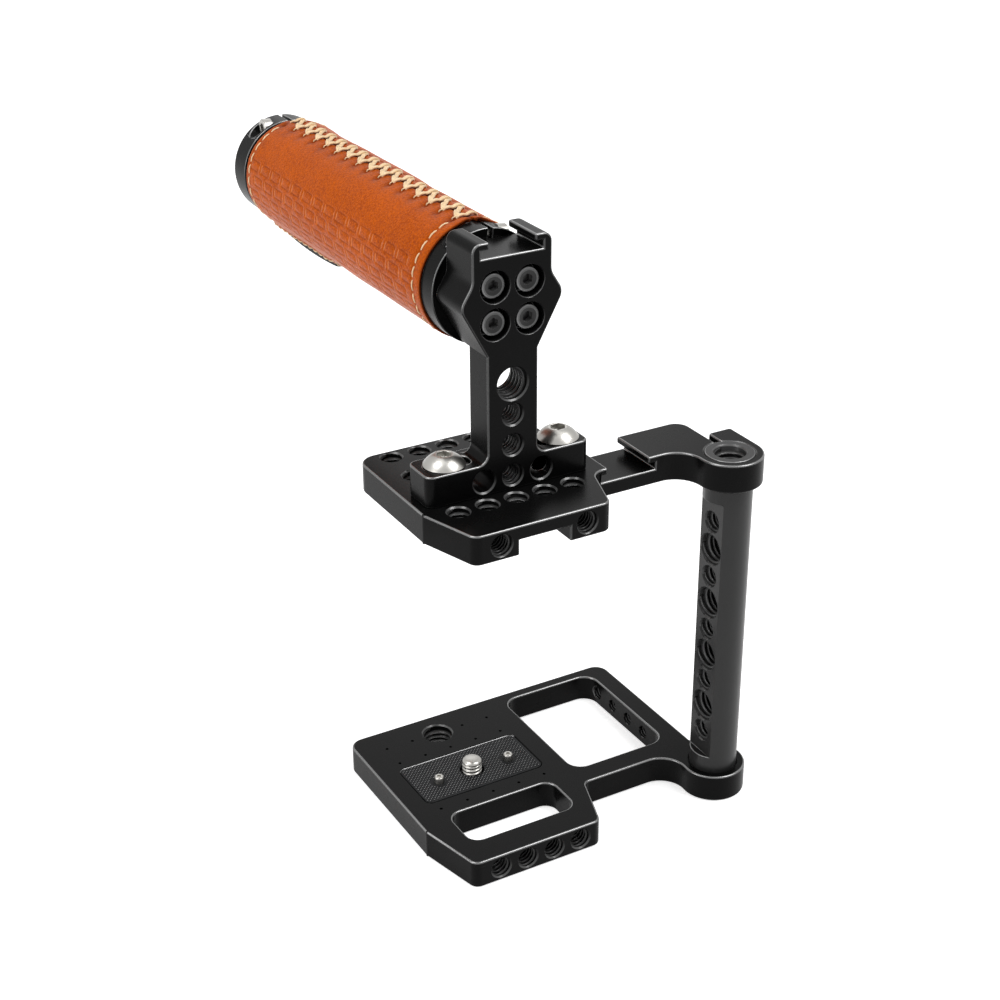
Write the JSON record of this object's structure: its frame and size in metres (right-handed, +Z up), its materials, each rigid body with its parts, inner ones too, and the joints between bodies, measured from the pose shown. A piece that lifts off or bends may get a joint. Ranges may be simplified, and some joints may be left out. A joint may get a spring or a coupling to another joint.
{
  "type": "camera cage",
  "caption": "Open camera cage: slotted base plate, flat-sided rod, clamped top plate and a post with a laced leather top handle.",
  "frame": {"origin": "on the ground under the middle of the cage's bounding box", "axes": "+Z up, +X from the camera bay to the side rod, +Y back along the handle"},
  "size_m": [0.1076, 0.1758, 0.1937],
  "materials": {
    "black_aluminium": "black anodised, fine satin, bright edges",
    "rod_aluminium": "black anodised, satin, turned",
    "pad_rubber": "dark grey, fine dimples",
    "bright_steel": "plain machined steel",
    "black_steel": "black oxide",
    "bare_aluminium": "turned, uncoated",
    "core_plastic": "matt black",
    "tan_leather": "tan hide, embossed, waxed",
    "lace_thread": "waxed thread, pale tan"
  },
  "bodies": {
    "base": {"base_plate": "black_aluminium", "grip_pad": "pad_rubber"},
    "camera_screw": {"camera_screw": "bright_steel"},
    "pin_left": {"locating_pin_left": "bright_steel"},
    "pin_right": {"locating_pin_right": "bright_steel"},
    "rod": {"side_rod": "rod_aluminium"},
    "base_screw": {"rod_base_screw": "black_steel"},
    "top": {"top_plate": "black_aluminium"},
    "clamp_screw": {"rod_clamp_screw": "black_steel"},
    "post": {"handle_post": "black_aluminium", "head_screws": "black_steel", "handle_bar": "bare_aluminium"},
    "post_screw_left": {"post_screw_left": "bright_steel"},
    "post_screw_right": {"post_screw_right": "bright_steel"},
    "grip": {"near_collar": "black_aluminium", "far_collar": "black_aluminium", "grip_core": "core_plastic", "leather_sleeve": "tan_leather", "lacing": "lace_thread", "accessory_rail": "black_aluminium", "rail_screws": "black_steel"},
    "near_screw": {"near_collar_screw": "bright_steel"},
    "far_screw": {"far_collar_screw": "bright_steel"}
  },
  "joints": [
    {"name": "camera_screw_turn", "type": "hinge", "parent": "base", "child": "camera_screw", "pos_m": [-0.02585, -0.04375, 0.009], "axis": [0, 0, 1], "continuous": true},
    {"name": "pin_left_turn", "type": "hinge", "parent": "base", "child": "pin_left", "pos_m": [-0.03835, -0.04495, 0.009], "axis": [0, 0, 1], "continuous": true},
    {"name": "pin_right_turn", "type": "hinge", "parent": "base", "child": "pin_right", "pos_m": [-0.01335, -0.04495, 0.009], "axis": [0, 0, 1], "continuous": true},
    {"name": "rod_swing", "type": "hinge", "parent": "base", "child": "rod", "pos_m": [0.04365, -0.07765, 0.009], "axis": [0, 0, 1], "continuous": true},
    {"name": "base_screw_turn", "type": "hinge", "parent": "rod", "child": "base_screw", "pos_m": [0.04365, -0.07765, 0.004], "axis": [0, 0, 1], "continuous": true},
    {"name": "top_height", "type": "slide", "parent": "rod", "child": "top", "axis": [0, 0, 1], "range_m": [-0.09, 0]},
    {"name": "clamp_screw_turn", "type": "hinge", "parent": "top", "child": "clamp_screw", "pos_m": [0.04365, -0.06695, 0.1135], "axis": [1, 0, 0], "continuous": true},
    {"name": "post_shift", "type": "slide", "parent": "top", "child": "post", "axis": [1, 0, 0], "range_m": [-0.001, 0.001]},
    {"name": "post_screw_left_turn", "type": "hinge", "parent": "top", "child": "post_screw_left", "pos_m": [-0.04265, -0.06085, 0.127], "axis": [0, 0, 1], "continuous": true},
    {"name": "post_screw_right_turn", "type": "hinge", "parent": "top", "child": "post_screw_right", "pos_m": [-0.00565, -0.06085, 0.127], "axis": [0, 0, 1], "continuous": true},
    {"name": "grip_turn", "type": "hinge", "parent": "post", "child": "grip", "pos_m": [-0.02415, 0.00235, 0.1738], "axis": [0, 1, 0], "continuous": true},
    {"name": "near_screw_turn", "type": "hinge", "parent": "grip", "child": "near_screw", "pos_m": [-0.02269, -0.04895, 0.18767], "axis": [0.9945, 0, -0.1045], "continuous": true},
    {"name": "far_screw_turn", "type": "hinge", "parent": "grip", "child": "far_screw", "pos_m": [-0.02366, 0.08365, 0.18774], "axis": [0.9994, 0, -0.0349], "continuous": true}
  ]
}
